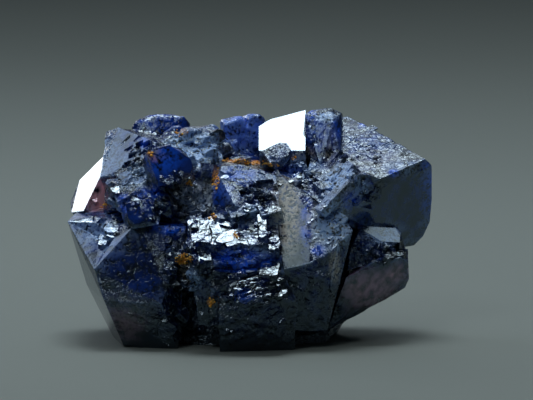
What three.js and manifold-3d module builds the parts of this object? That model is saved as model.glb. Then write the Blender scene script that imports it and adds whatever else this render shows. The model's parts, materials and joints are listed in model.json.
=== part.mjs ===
// Cluster of intergrown boleite crystals, broken off its matrix and resting on the break.
// Millimetres, +Z up. +X runs across the cluster and +Y from its front to its back.
import * as THREE from "three";
import { ConvexGeometry } from "three/addons/geometries/ConvexGeometry.js";
import { mergeVertices } from "three/addons/utils/BufferGeometryUtils.js";
import Module from "manifold-3d";

const LEAN = 6; // degrees the cluster tips back when it sits on its break
const BREAK = 0.42; // height of the break across the foot of the crystals, before the lean
const STRAY = 9; // degrees a small crystal may stray from the grain of the large one under it
const SEED = 20261; // fixes where the small crystals and pits fall

const wasm = await Module();
wasm.setup();

// Directions of the cube edges in each part of the cluster: every small crystal there grew
// parallel to the large one it sits on. The first is the face that looks out of the cluster.
const GRAIN = {
  left: grain([-0.51, -0.6, 0.61], [-0.05, -0.69, -0.72]),
  leftSteps: grain([-0.51, -0.6, 0.61], [0.85, -0.4, 0.32]),
  lowerLeft: grain([0.15, -0.46, 0.87], [-0.66, 0.6, 0.43]),
  centre: grain([-0.1, -0.65, 0.75], [0.97, 0.1, 0.2]),
  right: grain([0.02, -0.475, 0.88], [-0.765, -0.575, -0.29]),
  lowerRight: grain([0.3, -0.84, -0.45], [0.85, 0.42, 0.3]),
  middle: grain([0.03, -0.87, 0.49], [0.8, -0.2, -0.4]),
  back: grain([-0.25, 0.9, 0.3], [0.9, 0.3, -0.1]),
  top: grain([-0.3, -0.25, 0.92], [0.9, 0.1, 0.3]),
};

// A frame whose Z looks along a face's normal and whose X runs as near as it can along an edge.
function grain(normal, edge) {
  const z = new THREE.Vector3(...normal).normalize();
  const x = new THREE.Vector3(...edge).projectOnPlane(z).normalize();
  return new THREE.Matrix4().makeBasis(x, z.clone().cross(x), z);
}

// Seeded random numbers from 0 to 1.
let state = SEED;
function random() {
  state = (state + 0x6d2b79f5) | 0;
  let t = Math.imul(state ^ (state >>> 15), 1 | state);
  t = (t + Math.imul(t ^ (t >>> 7), 61 | t)) ^ t;
  return ((t ^ (t >>> 14)) >>> 0) / 4294967296;
}
const between = (low, high) => low + (high - low) * random();

// A closed three.js geometry as a solid that can be joined and cut.
function solidOf(geometry) {
  geometry.deleteAttribute("normal");
  geometry.deleteAttribute("uv");
  const merged = mergeVertices(geometry, 1e-4);
  return new wasm.Manifold(
    new wasm.Mesh({
      numProp: 3,
      vertProperties: merged.attributes.position.array,
      triVerts: new Uint32Array(merged.index.array),
    }),
  );
}

// The same solid as a three.js mesh.
function meshOf(solid, material) {
  const { vertProperties, triVerts } = solid.getMesh();
  const geometry = new THREE.BufferGeometry()
    .setAttribute("position", new THREE.BufferAttribute(vertProperties, 3))
    .setIndex(new THREE.BufferAttribute(triVerts, 1));
  geometry.computeVertexNormals();
  return new THREE.Mesh(geometry, material);
}

// One large crystal: the flat-faced solid between its corners, each [x, y, z].
function crystal(...corners) {
  return solidOf(new ConvexGeometry(corners.map((corner) => new THREE.Vector3(...corner))));
}

// One cubic crystal about its centre, its edges along a grain.
function cube([x, y, z], [length, width, height], along) {
  const place = along.clone().setPosition(x, y, z);
  return solidOf(new THREE.BoxGeometry(length, width, height).applyMatrix4(place));
}

// One small crystal: a cube grown a few degrees off its grain, with two corners cut by
// octahedron faces of different sizes.
function smallCrystal(at, [length, width, height], along) {
  const off = () => THREE.MathUtils.degToRad(between(-STRAY, STRAY));
  const turn = new THREE.Matrix4().makeRotationFromEuler(new THREE.Euler(off(), off(), off()));
  const place = along.clone().multiply(turn).setPosition(at);
  const corners = [-0.5, 0.5].flatMap((x) => [-0.5, 0.5].flatMap((y) => [-0.5, 0.5].map((z) => [x, y, z])));
  const cut = [Math.floor(between(0, 4)) * 2 + 1, Math.floor(between(0, 4)) * 2];
  const points = corners.flatMap((corner, i) => {
    if (!cut.includes(i)) return [corner];
    const share = between(0.25, 0.7);
    return [0, 1, 2].map((axis) => corner.map((c, k) => (k === axis ? c - 2 * c * share : c)));
  });
  const size = new THREE.Vector3(length, width, height);
  return solidOf(
    new ConvexGeometry(points.map((p) => new THREE.Vector3(...p).multiply(size).applyMatrix4(place))),
  );
}

// Small crystals on the surface of a body, over a patch seen along one direction. A deep one
// lies mostly under the surface. Cut away instead of joined, the same shapes leave square pits.
function crystalsOn(body, { centre, spread, looking = [0, 1, 0], count, size, depth = 0.5, along }) {
  const direction = new THREE.Vector3(...looking).normalize();
  const across = new THREE.Vector3(0, 0, 1).cross(direction);
  if (across.length() < 0.1) across.set(1, 0, 0);
  const up = direction.clone().cross(across.normalize()).negate();
  const surface = meshOf(body, new THREE.MeshBasicMaterial({ side: THREE.DoubleSide }));
  const cubes = [];
  for (let i = 0; i < count; i++) {
    const from = new THREE.Vector3(...centre)
      .addScaledVector(direction, -30)
      .addScaledVector(across, between(-0.5, 0.5) * spread[0])
      .addScaledVector(up, between(-0.5, 0.5) * spread[1]);
    const [hit] = new THREE.Raycaster(from, direction).intersectObject(surface);
    if (!hit) continue;
    const edge = between(...size);
    const at = hit.point.addScaledVector(direction, (depth - 0.5) * edge);
    cubes.push(smallCrystal(at, [edge * between(0.8, 1.5), edge, edge * between(0.7, 1.1)], along));
  }
  return cubes;
}

// The large crystals of the front, from left to right.

const lowerLeft = crystal(
  [-6.2, -0.4, 4.3], [-5.9, 0.6, 4.75], [-5.35, 1.2, 5.0], [-5.2, -2.7, 2.85],
  [-3.85, -2.2, 4.35], [-4.87, -2.75, 1.8], [-2.95, -3.0, 1.7], [-4.25, -1.9, 0.3],
  [-2.4, -2.2, 0], [-4.4, 0.9, 0], [-5.55, 0.5, 2.3], [-2.6, 0.5, 4.7], [-2.15, -2.1, 4.28],
);

const upperLeft = crystal(
  [-4.9, 1.19, 7.48], [-4.5, 0.96, 7.65], [-3.4, -0.43, 7.2], [-5.05, -0.3, 5.95], [-3.6, -1.3, 6.1],
  [-3.0, -0.1, 7.0], [-2.6, 2.6, 7.3], [-4.4, 2.6, 7.5],
  [-4.9, 1.6, 5.2], [-2.8, -1.2, 5.6], [-2.5, 2.4, 5.0],
);

const leftStep = crystal(
  [-4.85, -0.7, 5.85], [-3.84, -1.1, 6.05], [-3.4, -1.4, 5.95], [-2.75, -1.9, 5.25], [-3.95, -2.0, 5.35],
  [-4.45, -1.8, 5.1], [-5.0, 0.4, 4.6], [-2.6, -1.4, 4.4], [-2.6, 0.6, 5.6],
);

const leftWedge = crystal(
  [-3.95, -2.0, 5.35], [-3.67, -2.0, 5.55], [-2.7, -2.2, 5.1], [-2.8, -2.5, 4.95], [-3.9, -1.5, 4.7],
  [-2.6, -1.2, 5.4], [-2.6, -1.4, 4.4],
);

const leftBlock = crystal(
  [-4.4, -1.7, 4.95], [-3.85, -2.0, 5.2], [-3.2, -2.1, 5.1], [-2.95, -2.1, 4.8], [-3.85, -2.6, 4.55],
  [-3.05, -2.7, 4.35], [-3.95, -2.45, 4.2], [-4.2, -1.9, 4.4], [-3.2, -1.0, 5.0], [-3.2, -1.0, 4.0],
);

const backLeft = crystal(
  [-6.08, 0.9, 4.75], [-6.15, 2.2, 5.15], [-5.85, 2.3, 5.85], [-5.05, 2.3, 6.65], [-4.9, 1.0, 6.4],
  [-5.65, 0.3, 4.8], [-4.2, 3.4, 6.3], [-5.4, 3.2, 4.4], [-4.2, 3.4, 3.0], [-4.6, 0.8, 3.0],
);

const darkPyramid = crystal(
  [-3.08, -1.2, 6.87], [-3.53, -1.5, 6.25], [-2.45, -2.0, 5.2], [-2.1, -1.8, 5.5],
  [-2.08, -1.3, 6.1], [-2.18, -1.1, 6.4], [-2.7, -1.0, 6.85], [-2.85, -2.0, 6.28], [-2.8, 0.3, 6.2], [-2.4, 0.2, 5.2],
);

const topLump = crystal(
  [-4.1, 1.9, 7.6], [-3.95, 1.8, 7.9], [-3.3, 1.9, 8.12], [-2.6, 2.0, 8.12], [-2.15, 2.1, 7.85],
  [-2.15, 2.0, 7.4], [-3.2, 1.5, 7.2], [-4.0, 3.0, 7.6], [-3.6, 3.1, 8.0], [-2.6, 3.2, 8.0], [-2.1, 3.2, 7.3],
  [-3.2, 2.4, 6.4],
);

const backMiddle = crystal(
  [-3.2, 0.1, 6.95], [-1.3, -0.2, 6.5], [-1.9, 1.8, 7.75], [-1.2, 1.9, 7.8], [-0.6, 1.7, 7.1],
  [-3.2, 1.9, 7.3], [-3.2, 3.0, 5.4], [-0.6, 3.0, 5.4], [-2.0, -0.6, 5.6],
);

const whiteFacet = crystal(
  [0.3, 0.2, 6.85], [1.88, 0.35, 6.85], [0.3, 1.13, 7.68], [0.68, 1.38, 7.92], [1.9, 1.85, 8.25],
  [0.3, 3.0, 7.0], [1.9, 3.2, 7.6], [0.4, 0.6, 5.8], [1.9, 0.6, 5.6],
);

const whiteFacetFoot = crystal(
  [0.4, 0.1, 6.82], [1.38, 0.15, 6.85], [1.25, 0.35, 7.1], [1.02, 0.4, 7.12], [0.7, 0.45, 6.98], [0.4, 0.6, 6.4],
  [1.4, 0.6, 6.4], [0.8, -0.3, 6.3],
);

const standing = crystal(
  [1.87, 0.9, 6.8], [2.38, 0.1, 6.35], [3.1, 0.4, 6.5], [1.87, 1.0, 8.1], [2.1, 1.4, 8.25],
  [2.75, 1.4, 8.3], [2.8, 0.8, 7.92], [3.15, 1.5, 8.15], [1.9, 3.0, 7.9], [3.2, 3.0, 7.8], [2.2, 2.0, 5.6],
);

const rightCube = crystal(
  [5.95, 0.42, 6.56], [6.18, 0.7, 6.32], [6.2, 1.35, 5.2], [6.14, 1.72, 4.42], [5.92, 1.8, 3.94],
  [5.6, 1.66, 3.62], [5.3, 1.38, 3.57], [3.47, -0.73, 4.25], [2.42, -2.4, 5.02], [3.35, 3.1, 8.05],
  [2.4, 2.9, 7.9], [1.8, -1.4, 5.5], [5.9, 2.3, 5.4], [4.2, 3.6, 5.6], [4.6, 2.8, 3.8],
);

const rightShoulder = crystal(
  [3.3, -1.75, 5.7], [3.5, -1.7, 5.93], [3.74, -1.52, 6.05], [4.15, -1.1, 6.02], [4.4, -0.82, 5.9],
  [4.12, -0.75, 5.3], [3.6, -1.2, 4.95], [3.05, -1.65, 5.1], [3.5, -0.5, 6.05], [4.0, -0.3, 6.1], [3.8, 0.2, 5.2],
);

const middleRight = crystal(
  [0.85, -1.3, 6.1], [2.4, -1.95, 5.0], [3.45, -2.3, 4.15], [2.7, -2.9, 3.45], [2.0, -3.1, 3.05],
  [1.1, -3.1, 2.85], [1.0, -2.6, 0.8], [2.6, -2.2, 0.8], [2.95, -2.0, 2.6], [2.6, 0, 5.4], [0.8, 0, 5.8],
  [1.4, 0.4, 0.4],
);

const middleBlade = crystal(
  [2.78, -2.75, 3.55], [3.0, -2.7, 3.75], [2.7, -2.6, 2.2], [2.75, -2.5, 2.05], [3.02, -2.3, 2.35],
  [2.95, -2.5, 3.3], [2.6, -1.4, 3.4], [2.8, -1.4, 2.2],
);

const lowerRight = crystal(
  [3.23, -1.9, 2.56], [4.1, -1.5, 3.05], [5.06, -1.04, 3.23], [5.35, -0.75, 3.1], [5.38, -0.36, 2.5],
  [5.25, -0.2, 2.2], [4.6, -0.4, 1.82], [3.06, -1.18, 1.15], [2.62, -1.15, 0.78],
  [5.35, 0.1, 3.5], [4.2, 0.6, 3.5], [3.2, 1.6, 1.2], [4.8, 2.0, 2.8],
);

const lowerRightLedge = crystal(
  [3.75, -0.5, 4.22], [5.0, 0.55, 4.27], [5.2, 0.25, 3.8], [5.3, 0.3, 3.45], [4.9, -0.55, 3.78], [4.3, -0.95, 3.72],
  [3.4, -1.3, 3.5], [3.3, -1.6, 2.8], [4.6, -0.9, 3.2], [3.3, 0.6, 4.0], [4.6, 1.4, 3.4],
);

const columnTop = crystal(
  [-0.95, -1.5, 6.3], [-0.35, -1.4, 6.38], [-0.35, -2.3, 5.6], [-0.95, -2.1, 5.85], [-1.3, -1.9, 5.5],
  [-1.25, -2.3, 5.0], [-0.5, -2.9, 5.0], [0.85, -1.7, 6.0], [0.97, -2.4, 5.4], [0.97, -2.9, 4.6],
  [-1.2, -2.6, 4.2], [0.97, 0, 5.6], [-1.2, 0, 5.6],
);

const columnMiddle = crystal(
  [-1.95, -2.2, 4.5], [-1.2, -2.4, 4.62], [0.3, -2.7, 4.6], [0.95, -2.5, 4.4], [0.95, -3.2, 3.85],
  [-1.1, -3.2, 3.85], [-2.0, -2.9, 3.75], [-2.0, -3.0, 3.2], [1.0, -3.4, 3.2], [-1.2, -3.4, 3.2],
  [-1.7, -2.8, 1.0], [0.9, -3.0, 0.9], [-1.6, -0.6, 3.0], [0.9, -0.6, 3.0],
);

const columnFoot = crystal(
  [-1.1, -3.4, 2.5], [0.95, -3.3, 3.1], [0.95, -3.8, 1.95], [-1.0, -3.75, 1.8], [-1.0, -3.75, 1.3],
  [0.2, -3.7, 1.15], [1.6, -3.2, 1.75], [1.5, -2.6, 0.2], [-0.3, -2.7, 0], [-1.0, -3.0, 0],
  [1.2, 0, 0], [-1.0, 0, 0],
);

// The mass in the middle, which the large crystals grew out of on every side.
const heart = crystal(
  [-4.3, -0.6, 0], [-4.2, 2.4, 0], [-4.4, 1.0, 6.0], [-3.6, 2.6, 6.4],
  [2.4, -0.8, 0], [2.6, 2.0, 0], [3.8, 1.2, 2.0], [4.2, 1.0, 5.6], [3.4, 2.8, 6.2],
  [0, -1.8, 0], [0, 2.8, 0], [-1.2, -1.2, 6.2], [1.2, 0.2, 6.1], [0, 2.8, 6.9],
);

// The large crystals of the back.
const backCrystals = [
  cube([-0.5, 2.6, 7.3], [0.8, 0.7, 1.4], grain([-0.2, -0.2, 0.96], [0.95, 0.2, 0.1])),
  cube([0.12, 2.9, 7.3], [0.8, 0.8, 1.5], grain([0.1, -0.1, 0.99], [0.95, 0.3, 0])),
  cube([-3.1, 2.2, 2.4], [2.4, 2.2, 2.4], grain([-0.35, 0.85, 0.38], [0.8, 0.5, -0.2])),
  cube([-0.5, 2.5, 4.7], [2.6, 2.4, 2.3], grain([0.1, 0.88, -0.46], [0.95, -0.2, 0.1])),
  cube([0.7, 1.9, 2.4], [2.0, 2.0, 2.4], grain([0.3, 0.92, -0.2], [0.9, -0.2, 0.4])),
  cube([2.9, 2.3, 4.4], [2.2, 2.2, 2.0], grain([0.5, 0.8, 0.3], [0.7, -0.6, 0.3])),
  cube([-3.0, 2.3, 5.4], [1.9, 1.6, 1.7], grain([-0.6, 0.7, -0.4], [0.5, 0.7, 0.5])),
  cube([-1.0, 2.6, 1.4], [1.7, 1.5, 1.6], grain([-0.1, 0.95, 0.2], [0.7, 0.1, 0.6])),
  cube([1.9, 3.0, 6.3], [1.8, 1.5, 1.7], grain([0.2, 0.8, 0.5], [0.9, -0.3, 0.2])),
];

const large = wasm.Manifold.union([
  heart, lowerLeft, upperLeft, leftStep, leftWedge, leftBlock, backLeft, darkPyramid, topLump, backMiddle,
  whiteFacet, whiteFacetFoot, standing, rightCube, rightShoulder, middleRight, middleBlade, lowerRight, lowerRightLedge,
  columnTop, columnMiddle, columnFoot, ...backCrystals,
]);

// Small crystals: in the hollow left of the column, down the column, over the rough tops
// of the right and back crystals, in the re-entrant corners and all over the back.
const small = [
  { centre: [-1.95, 0, 5.0], spread: [1.2, 1.2], count: 11, size: [0.25, 0.5], along: GRAIN.centre },
  { centre: [-1.6, 0, 4.1], spread: [0.9, 0.8], count: 7, size: [0.25, 0.5], along: GRAIN.centre },
  { centre: [-2.3, 0, 3.0], spread: [1.1, 1.9], count: 11, size: [0.25, 0.5], along: GRAIN.lowerLeft },
  { centre: [-2.0, 0, 1.3], spread: [1.1, 1.4], count: 5, size: [0.3, 0.5], depth: 0.7, along: GRAIN.left },
  { centre: [-0.1, 0, 4.3], spread: [2.1, 0.8], count: 13, size: [0.3, 0.55], along: GRAIN.centre },
  { centre: [-0.1, 0, 3.4], spread: [2.1, 0.8], count: 12, size: [0.3, 0.55], along: GRAIN.centre },
  { centre: [-0.1, 0, 2.4], spread: [2.1, 0.9], count: 14, size: [0.25, 0.5], along: GRAIN.centre },
  { centre: [-2.0, 0, 6.9], spread: [1.9, 1.2], count: 11, size: [0.3, 0.55], depth: 0.6, along: GRAIN.top },
  { centre: [-0.5, 0, 6.7], spread: [1.2, 0.8], count: 6, size: [0.3, 0.5], depth: 0.6, along: GRAIN.top },
  { centre: [1.6, 0, 6.1], spread: [1.6, 1.0], count: 9, size: [0.25, 0.45], depth: 0.6, along: GRAIN.right },
  { centre: [2.7, 0, 5.6], spread: [1.2, 1.3], count: 9, size: [0.25, 0.5], depth: 0.75, along: GRAIN.right },
  { centre: [3.9, 0, 7.0], spread: [1.5, 1.3], count: 7, size: [0.3, 0.5], depth: 0.9, along: GRAIN.right },
  { centre: [2.5, 0, 4.1], spread: [1.2, 1.0], count: 5, size: [0.25, 0.4], depth: 0.85, along: GRAIN.middle },
  { centre: [4.2, 0, 3.4], spread: [1.5, 0.4], count: 5, size: [0.2, 0.35], depth: 0.7, along: GRAIN.right },
  { centre: [-4.8, 0, 5.1], spread: [1.1, 0.4], count: 4, size: [0.2, 0.3], depth: 0.7, along: GRAIN.lowerLeft },
  { centre: [0, 0, 4.4], spread: [8.5, 6], looking: [0, -1, 0], count: 24, size: [0.4, 0.9], along: GRAIN.back },
  { centre: [0, 2.9, 0], spread: [6, 1], looking: [0, 0, -1], count: 5, size: [0.4, 0.6], depth: 0.8, along: GRAIN.top },
].flatMap((patch) => crystalsOn(large, patch));

// Square pits between growth steps: the ragged edge of the upper-left face, the top of the
// column, the lower-left top face.
const pits = [
  { centre: [-3.85, 0, 6.7], spread: [0.9, 1.0], count: 13, size: [0.15, 0.3], along: GRAIN.leftSteps },
  { centre: [0.3, 0, 5.3], spread: [1.1, 1.0], count: 10, size: [0.2, 0.45], along: GRAIN.centre },
  { centre: [-4.9, 0, 4.2], spread: [0.9, 0.9], count: 7, size: [0.15, 0.35], along: GRAIN.lowerLeft },
].flatMap((patch) => crystalsOn(large, patch));

const seat = crystal(
  ...[-20, 20].flatMap((x) => [-20, 20].flatMap((y) => [[x, y, -20], [x, y, 0]])),
);
const grown = wasm.Manifold.union([large, ...small])
  .subtract(wasm.Manifold.union(pits))
  .rotate([-LEAN, 0, 0])
  .translate([0, 0, -BREAK])
  .subtract(seat)
  .simplify(0.01);

// The outer skin alone, solid all through, with the origin under the middle of its box.
const [whole] = grown.decompose().sort((a, b) => b.volume() - a.volume());
const { min, max } = whole.boundingBox();
const cluster = whole.translate([-(min[0] + max[0]) / 2, -(min[1] + max[1]) / 2, 0]);

const boleite = new THREE.MeshStandardMaterial({ color: 0x0b1c4a, roughness: 0.25, metalness: 0 });
const piece = meshOf(cluster, boleite);
piece.name = "crystal_cluster";
const group = new THREE.Group();
group.add(piece);
export default group;
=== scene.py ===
import json
import math
import random

import bmesh
import bpy
import numpy as np
from mathutils import Matrix, Vector, noise
from mathutils.bvhtree import BVHTree
from mathutils.kdtree import KDTree

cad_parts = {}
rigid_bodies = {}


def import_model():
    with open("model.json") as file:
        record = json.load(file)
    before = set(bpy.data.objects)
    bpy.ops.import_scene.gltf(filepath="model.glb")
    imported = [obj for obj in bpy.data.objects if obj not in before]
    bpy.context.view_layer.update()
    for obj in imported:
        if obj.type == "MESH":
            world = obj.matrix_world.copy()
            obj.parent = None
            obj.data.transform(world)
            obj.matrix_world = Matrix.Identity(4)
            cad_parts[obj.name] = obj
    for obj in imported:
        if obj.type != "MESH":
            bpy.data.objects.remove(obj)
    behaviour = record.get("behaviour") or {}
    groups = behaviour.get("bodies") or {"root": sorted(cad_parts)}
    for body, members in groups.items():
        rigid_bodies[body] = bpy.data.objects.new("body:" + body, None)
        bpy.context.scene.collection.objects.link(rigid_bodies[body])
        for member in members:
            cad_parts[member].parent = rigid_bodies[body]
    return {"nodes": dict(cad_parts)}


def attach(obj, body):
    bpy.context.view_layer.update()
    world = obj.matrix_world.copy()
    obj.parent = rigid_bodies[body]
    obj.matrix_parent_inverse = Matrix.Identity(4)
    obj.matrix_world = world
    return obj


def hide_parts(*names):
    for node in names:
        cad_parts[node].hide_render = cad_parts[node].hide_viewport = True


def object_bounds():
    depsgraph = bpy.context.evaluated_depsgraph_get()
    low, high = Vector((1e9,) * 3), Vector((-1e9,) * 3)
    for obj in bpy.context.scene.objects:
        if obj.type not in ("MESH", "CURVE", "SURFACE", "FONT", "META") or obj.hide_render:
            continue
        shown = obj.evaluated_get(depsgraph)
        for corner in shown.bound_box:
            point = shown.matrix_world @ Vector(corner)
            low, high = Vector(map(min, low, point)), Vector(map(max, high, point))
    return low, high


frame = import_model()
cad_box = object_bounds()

# ---- The grown mass
# The large crystals of the cluster, one solid of boleite. They keep the solid's own faces, and
# every smaller crystal, growth step and pit is put on those faces. Lengths are in millimetres
# here, and become metres when the piece is finished.
MM = 0.001
LEAN = math.radians(6)  # the cluster tips back this far on its break
FOOT = 0.479  # height of the break above the foot of the upright cluster
ACROSS = Vector((1, 0, 0))
RISE = Vector((0, math.sin(LEAN), math.cos(LEAN)))
DEEP = Vector((0, math.cos(LEAN), -math.sin(LEAN)))
OUTSIDE = 30  # a distance well clear of the cluster
ONE_CORNER = 0.0005  # corners of the solid nearer than this are one
ONE_FACE = math.radians(0.8)  # triangles turned less than this are one face
PATCH_DEPTH = 1.4  # how deep a patch of the front reaches, as a share of its larger half size

grown = bmesh.new()
grown.from_mesh(frame["nodes"]["crystal_cluster"].data)
bmesh.ops.scale(grown, vec=Vector((1 / MM,) * 3), verts=grown.verts)
bmesh.ops.remove_doubles(grown, verts=grown.verts, dist=ONE_CORNER)
bmesh.ops.dissolve_limit(grown, angle_limit=ONE_FACE, verts=grown.verts, edges=grown.edges)
bmesh.ops.recalc_face_normals(grown, faces=grown.faces)
grown.faces.ensure_lookup_table()
surface = BVHTree.FromBMesh(grown)


def front(x, z):
    """Where the surface's front is met, x across and z up when upright: place, normal, face."""
    start = ACROSS * x + RISE * (z - FOOT) - DEEP * OUTSIDE
    return surface.ray_cast(start, DEEP)[:3]


def within(points, x, z, half_wide, half_high):
    """1 for the points in the middle of a patch of the front, falling to 0 at its rim."""
    place, _, _ = front(x, z)
    away = points - np.array(place)
    across, rise, deep = (away @ np.array(way) for way in (ACROSS, RISE, DEEP))
    depth = max(half_wide, half_high) * PATCH_DEPTH
    reach = np.sqrt((across / half_wide) ** 2 + (rise / half_high) ** 2 + (deep / depth) ** 2)
    return np.clip(2 - 2 * reach, 0, 1)


# where the mass's own low steps are worn down: x and z of a spot on the face they stand on,
# half width and height, the share of their height that stays, and how dull they are
WORN = {
    "right top": (4.3, 6.9, 2.3, 1.3, 0.3, 1.6),
    "lower left top": (-5.3, 3.95, 1.2, 1.2, 0.15, 0.5),
}
LOW_STEP = 0.3  # none of those steps is higher than this
points = np.array([v.co for v in grown.verts])
for x, z, half_wide, half_high, share, _ in WORN.values():
    place, normal, _ = front(x, z)
    off = (points - np.array(place)) @ np.array(normal)
    near = (within(points, x, z, half_wide, half_high) > 0) & (np.abs(off) < LOW_STEP)
    points -= np.outer(np.where(near, off * (1 - share), 0), np.array(normal))
for v, point in zip(grown.verts, points):
    v.co = point
grown.normal_update()
surface = BVHTree.FromBMesh(grown)


def as_object(name, bm, scale=1.0):
    """A new object with this mesh, made larger or smaller about the origin."""
    mesh = bpy.data.meshes.new(name)
    bm.to_mesh(mesh)
    bm.free()
    mesh.transform(Matrix.Scale(scale, 4))
    return bpy.data.objects.new(name, mesh)


# ---- Small crystals and pits
# Cubes a fraction of a millimetre on an edge that grew out of the large ones, parallel to them
# within a few degrees, and the square pits left between them. They are part of the same solid.
rng = random.Random(4)
SLENDER, THICK = (0.8, 1.7), (0.6, 1.1)  # length and height of a crystal, as shares of its width
RUN_STRAY, RUN_LONG = 12, 2.4  # degrees off its run, and how much longer a thin layer is


def toward(across, deep, rise):
    """The direction that goes so far across, deep and up."""
    return (ACROSS * across + DEEP * deep + RISE * rise).normalized()


def heading(degrees):
    """The direction over the front that climbs at this angle from level."""
    return ACROSS * math.cos(math.radians(degrees)) + RISE * math.sin(math.radians(degrees))


def small_crystal(place, normal, edge, sizes, proud, stray, cuts=3):
    """A cube sunk in a face, one edge along it, with corners cut by octahedron faces."""
    side = normal.cross(edge).normalized()
    turn = Matrix((side.cross(normal).normalized(), side, normal)).transposed().to_4x4()
    wobble = [math.radians(rng.uniform(-stray, stray)) for _ in range(3)]
    tip = Matrix.Rotation(wobble[0], 4, "X") @ Matrix.Rotation(wobble[1], 4, "Y")
    tip = tip @ Matrix.Rotation(wobble[2], 4, "Z")
    long, wide, high = sizes
    centre = place + normal * high * (proud - 0.5)
    bm = bmesh.new()
    bmesh.ops.create_cube(bm, size=1, matrix=Matrix.Diagonal((long, wide, high, 1)))
    # one corner is only nicked, and three are cut deep
    for _ in range(cuts):
        corner = Vector((rng.choice((-1, 1)) * long, rng.choice((-1, 1)) * wide, high)) / 2
        cut = bmesh.ops.bisect_plane(
            bm,
            geom=bm.verts[:] + bm.edges[:] + bm.faces[:],
            plane_co=corner * rng.uniform(1.2 - cuts * 0.2, 0.95),
            plane_no=Vector([math.copysign(rng.uniform(0.5, 1), c) for c in corner]),
            clear_outer=True,
        )
        rim = [g for g in cut["geom_cut"] if isinstance(g, bmesh.types.BMEdge)]
        if rim:
            bmesh.ops.edgeloop_fill(bm, edges=rim)
    bmesh.ops.recalc_face_normals(bm, faces=bm.faces)
    bmesh.ops.transform(bm, matrix=Matrix.Translation(centre) @ turn @ tip, verts=bm.verts)
    return as_object("small_crystal", bm)


def longest_edge(face):
    """The direction of a face's longest edge."""
    edge = max(face.edges, key=lambda e: e.calc_length())
    return (edge.verts[1].co - edge.verts[0].co).normalized()


# centre x and z, half width and height, count, smallest and largest size, share standing
# proud, and degrees off the face under them
STEPS_FRONT = {
    "upper left foot": (-3.9, 5.6, 1.2, 0.6, 10, 0.15, 0.45, 0.25, 6),
    "dark pyramid": (-2.5, 5.7, 0.7, 0.5, 9, 0.15, 0.4, 0.3, 8),
    "behind the column": (-1.7, 6.8, 1.5, 1.1, 22, 0.2, 0.6, 0.25, 12),
    "left of the column": (-2.0, 5.0, 0.9, 0.9, 22, 0.15, 0.5, 0.3, 12),
    "left hollow": (-2.2, 3.3, 0.8, 1.5, 40, 0.1, 0.3, 0.4, 14),
    "column": (-0.3, 3.8, 1.4, 0.9, 12, 0.2, 0.5, 0.2, 10),
    "column foot": (0.0, 2.3, 1.1, 0.8, 8, 0.2, 0.5, 0.2, 10),
    "below the white face": (1.4, 6.1, 1.0, 0.5, 10, 0.15, 0.4, 0.15, 10),
    "right slope": (2.4, 6.0, 0.6, 0.8, 6, 0.15, 0.4, 0.15, 10),
    "right shoulder": (3.6, 5.6, 0.7, 0.5, 9, 0.2, 0.5, 0.3, 12),
    "middle right": (2.6, 4.3, 0.8, 0.8, 4, 0.15, 0.4, 0.15, 8),
    "lower right ledges": (4.2, 3.4, 1.0, 0.4, 14, 0.12, 0.4, 0.3, 8),
    "dark foot": (-1.2, 1.4, 2.6, 1.1, 14, 0.2, 0.5, 0.2, 8),
}
# the same for steps that all face one way, up and to the front, and catch the light together;
# a last number, where there is one, is the direction they run in, degrees from level
LEDGES = {
    "column left": (-1.66, 3.95, 0.35, 0.5, 12, 0.2, 0.4, 0.6, 7),
    "column left, low": (-1.55, 3.22, 0.25, 0.1, 5, 0.2, 0.4, 0.5, 4),
    "column brow": (-0.8, 3.78, 0.45, 0.2, 8, 0.25, 0.5, 0.5, 7),
    "column brow, middle": (0.0, 3.72, 0.35, 0.2, 8, 0.2, 0.4, 0.5, 7),
    "column spire": (0.45, 4.1, 0.13, 0.4, 5, 0.2, 0.4, 0.5, 7),
    "column brow, right": (0.85, 3.68, 0.22, 0.2, 8, 0.15, 0.3, 0.5, 6),
    "column side": (0.62, 2.8, 0.3, 0.3, 6, 0.2, 0.35, 0.6, 5),
    "column middle": (-0.5, 3.35, 0.8, 0.3, 16, 0.1, 0.2, 0.7, 8, -10),
    "column foot": (-0.1, 2.35, 1.0, 0.45, 70, 0.1, 0.2, 0.8, 6, 22),
    "column foot, low": (0.2, 1.95, 0.8, 0.25, 14, 0.08, 0.18, 0.8, 6, 24),
    "column hollow": (0.2, 4.9, 0.4, 0.3, 6, 0.12, 0.25, 0.5, 8),
    "left hollow": (-2.0, 2.8, 0.6, 0.6, 44, 0.08, 0.2, 0.7, 10),
    "left of the column": (-2.1, 4.9, 0.7, 0.7, 20, 0.06, 0.2, 0.6, 12),
    "left hollow, high": (-2.4, 3.7, 0.5, 0.5, 16, 0.06, 0.18, 0.6, 12),
    "dark pyramid": (-2.6, 5.6, 0.45, 0.35, 20, 0.06, 0.18, 0.6, 12),
    "below the white face": (1.5, 6.0, 0.7, 0.6, 10, 0.08, 0.2, 0.6, 14),
    "right shoulder": (3.6, 5.5, 0.6, 0.5, 8, 0.08, 0.22, 0.6, 14),
    "right top": (4.0, 6.8, 0.7, 0.4, 14, 0.05, 0.1, 0.6, 14),
    "lower left streak, high": (-4.42, 4.5, 0.15, 0.2, 9, 0.12, 0.3, 0.6, 8),
    "lower left streak": (-4.66, 4.13, 0.14, 0.25, 12, 0.15, 0.35, 0.6, 8),
    "lower left streak, low": (-4.88, 3.75, 0.12, 0.2, 8, 0.1, 0.25, 0.6, 8),
}
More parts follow.
